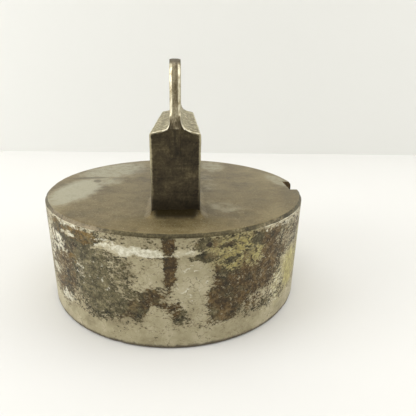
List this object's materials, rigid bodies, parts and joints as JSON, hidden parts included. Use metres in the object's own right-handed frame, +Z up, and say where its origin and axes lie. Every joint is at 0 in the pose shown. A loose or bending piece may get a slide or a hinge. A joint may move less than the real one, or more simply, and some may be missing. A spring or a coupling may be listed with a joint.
{
  "type": "lifting magnet",
  "caption": "Round permanent pot magnet for lifting steel, with a bar welded across its top and an upright plate with a lifting eye.",
  "frame": {"origin": "centre of the round pole face that the magnet stands on", "axes": "+Z up from the pole face to the lifting eye, +Y along the lug block, +X towards the notch in the top rim"},
  "size_m": [0.1016, 0.1016, 0.0875],
  "materials": {
    "painted_shell": "flaking grey paint over brown oxidised steel",
    "dark_bar_steel": "dark brown oxidised steel with faint milling marks",
    "worn_plate_steel": "worn satin steel with bright bevels",
    "weld_metal": "hand-ground weld metal",
    "ground_pole_steel": "surface ground and scratched",
    "ring_brass": "dull tarnished brass",
    "potting_resin": "red-brown cast resin",
    "ferrite": "dull sintered ferrite",
    "screw_steel": "plain steel, slightly stained"
  },
  "bodies": {
    "root": {"pot_shell": "painted_shell", "lug_block": "dark_bar_steel", "eye_plate": "worn_plate_steel", "plate_weld_left": "weld_metal", "plate_weld_right": "weld_metal", "base_weld_front": "weld_metal", "base_weld_right": "weld_metal", "base_weld_back": "weld_metal", "base_weld_left": "weld_metal", "pole_plate": "ground_pole_steel", "face_ring": "ring_brass", "potting_ring": "potting_resin", "ring_magnet_lower": "ferrite", "ring_magnet_upper": "ferrite", "centring_bush": "ring_brass", "pole_screw": "screw_steel"}
  },
  "joints": []
}
